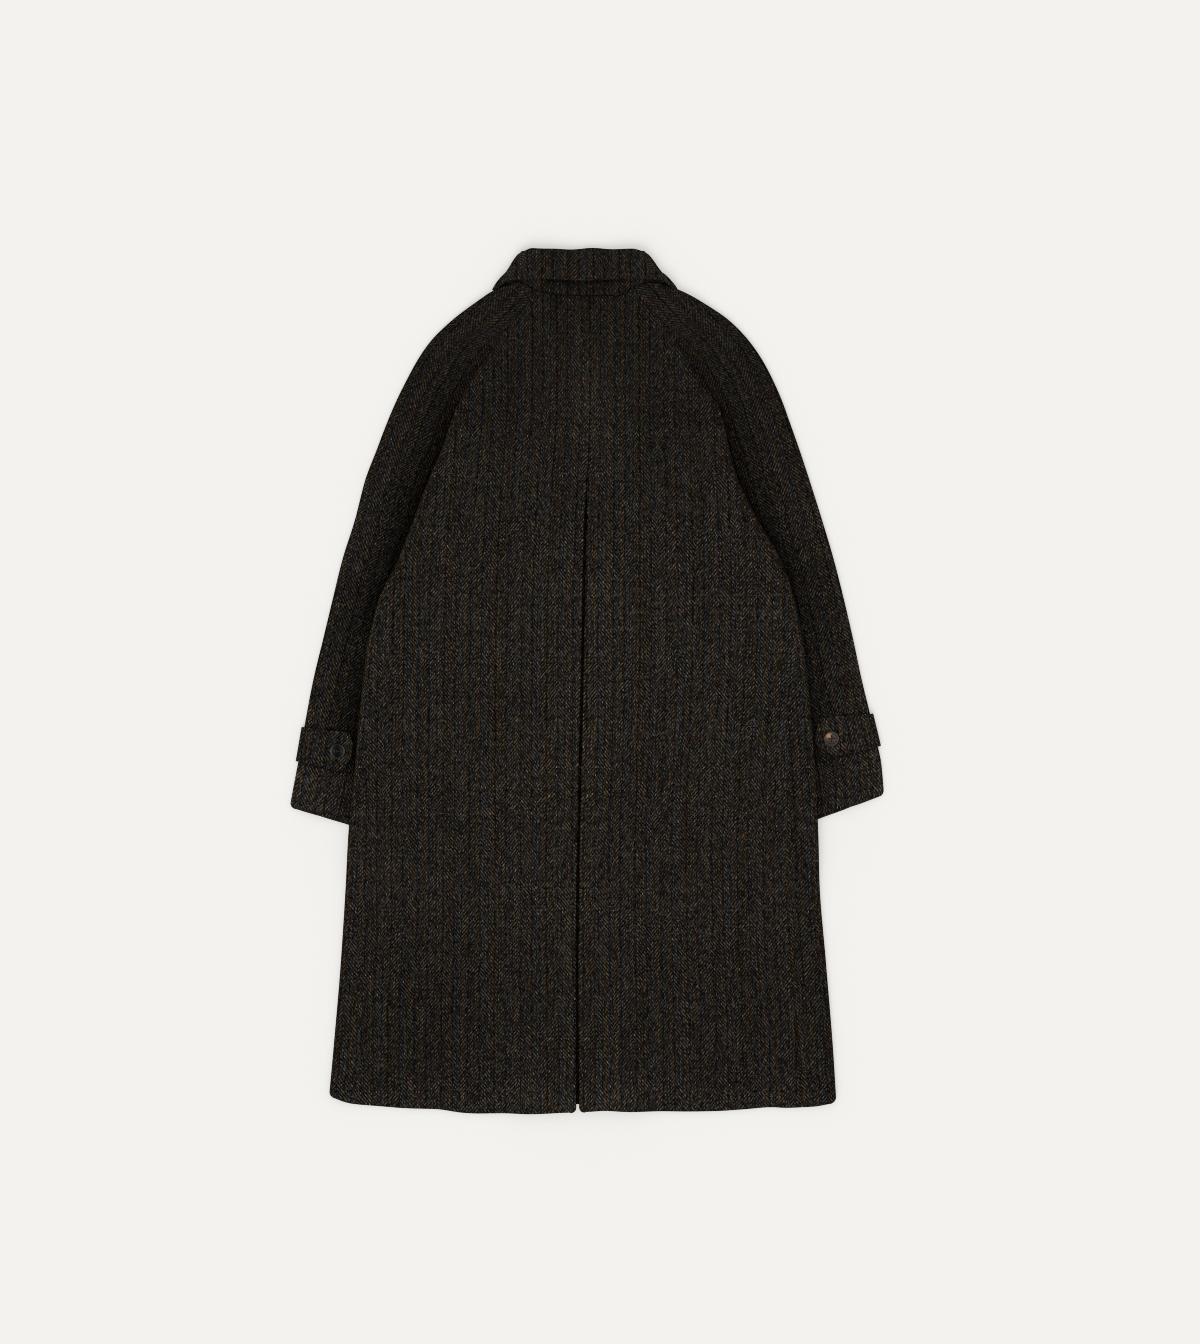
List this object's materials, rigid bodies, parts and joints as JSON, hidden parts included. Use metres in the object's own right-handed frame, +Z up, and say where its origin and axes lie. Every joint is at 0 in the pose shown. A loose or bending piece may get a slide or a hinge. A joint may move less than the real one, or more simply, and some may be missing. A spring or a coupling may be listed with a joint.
{
  "type": "raglan coat",
  "caption": "Herringbone tweed raglan coat laid flat with its back up, with a turn-down collar, an inverted back pleat and buttoned cuff straps.",
  "frame": {"origin": "on the surface that the coat lies on, under the middle of its outline", "axes": "+X to the wearer's right, +Y from the hem to the collar, +Z up from the surface, out of the coat's back"},
  "size_m": [0.797, 1.1607, 0.0143],
  "materials": {
    "tweed": "brown-black herringbone wool tweed with a soft nap",
    "dark_horn": "dark grey polished horn",
    "brown_horn": "brown polished horn"
  },
  "bodies": {
    "root": {"back_left": "tweed", "back_right": "tweed", "pleat_underlay": "tweed", "front_left": "tweed", "front_right": "tweed", "sleeve_back_left": "tweed", "sleeve_back_right": "tweed", "sleeve_front_left": "tweed", "sleeve_front_right": "tweed", "collar": "tweed", "cuff_strap_left": "tweed", "cuff_strap_right": "tweed", "button_left": "dark_horn", "button_right": "brown_horn"}
  },
  "joints": []
}
